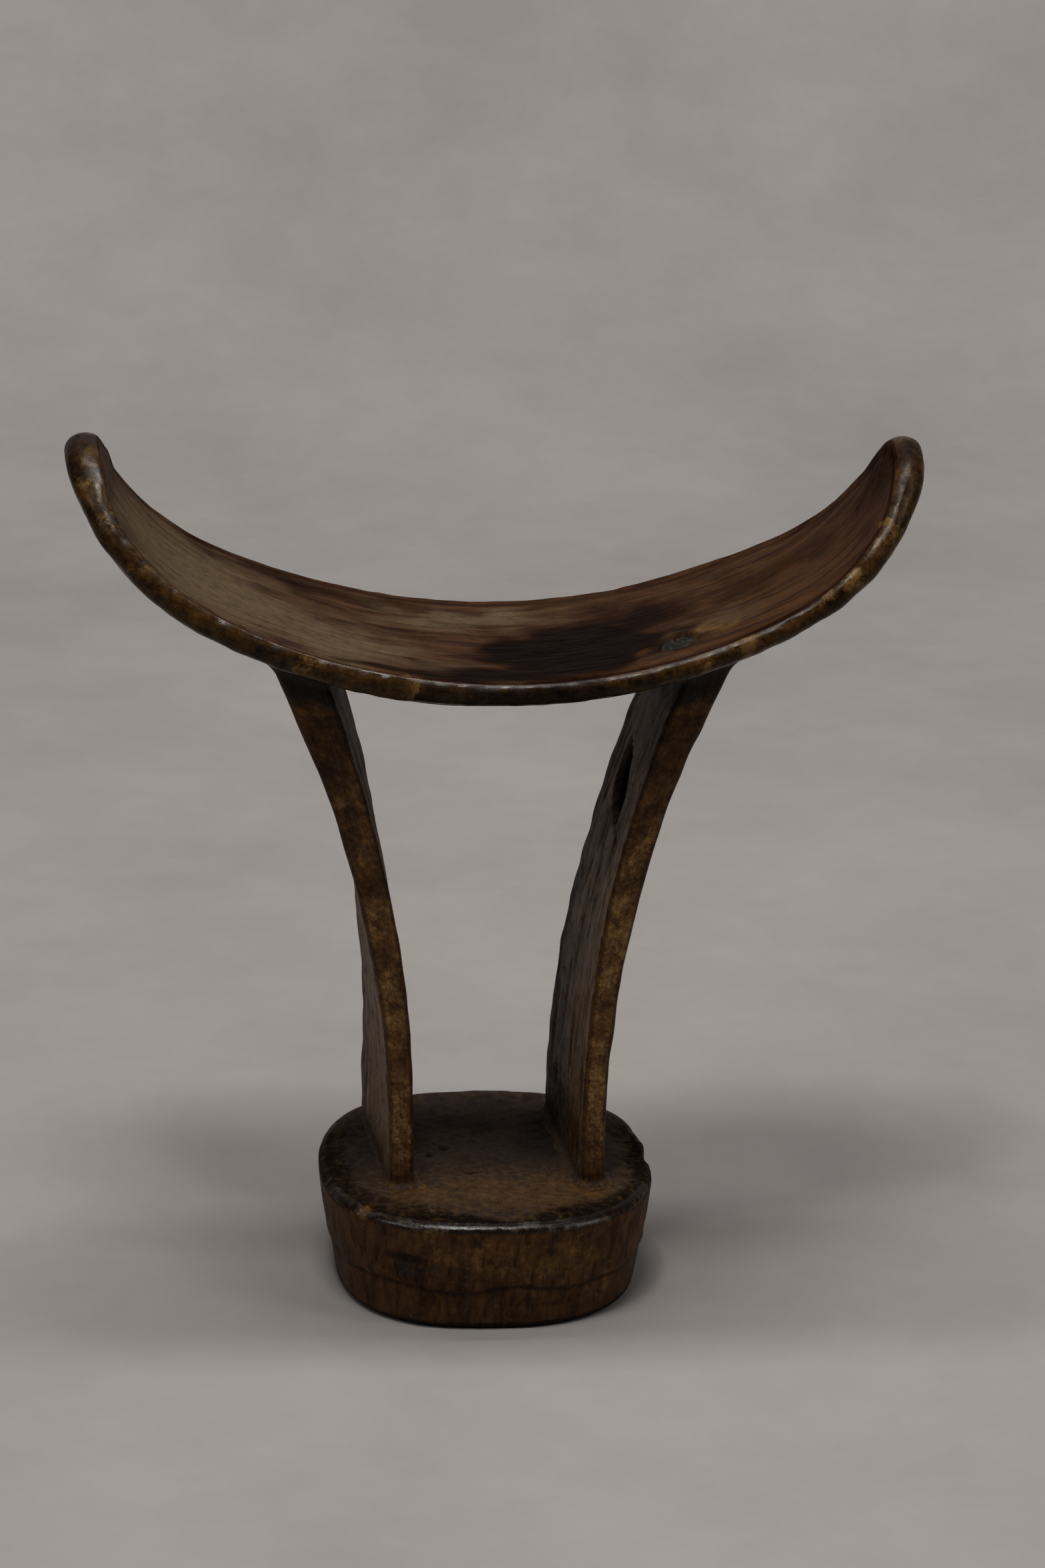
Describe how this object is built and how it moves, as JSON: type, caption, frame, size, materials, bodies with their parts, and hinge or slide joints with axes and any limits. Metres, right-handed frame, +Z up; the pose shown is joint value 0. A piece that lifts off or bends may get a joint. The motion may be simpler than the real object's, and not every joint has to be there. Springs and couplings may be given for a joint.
{
  "type": "headrest",
  "caption": "Carved wooden headrest: a crescent neck rest with upcurved horns on two bowed plate struts that rise from a short drum foot.",
  "frame": {"origin": "centre of the foot's underside, on the ground", "axes": "+Z up, +X towards the right-hand horn as seen from the front, +Y towards the back, so the neck lies across the rest along Y"},
  "size_m": [0.1824, 0.076, 0.1881],
  "materials": {
    "rest_wood": "polished by use, dark brown with khaki and red-brown patches, ochre wear on the rim",
    "strut_wood": "ochre-brown worn edges, matte weathered grey-brown faces with open grain",
    "foot_wood": "dark brown to black top edge, red-brown streaked sides",
    "knot_wood": "dull grey-brown dead knot with a dark ring"
  },
  "bodies": {
    "root": {"foot": "foot_wood", "left_strut": "strut_wood", "right_strut": "strut_wood", "neck_rest": "rest_wood", "rest_knot": "knot_wood"}
  },
  "joints": []
}
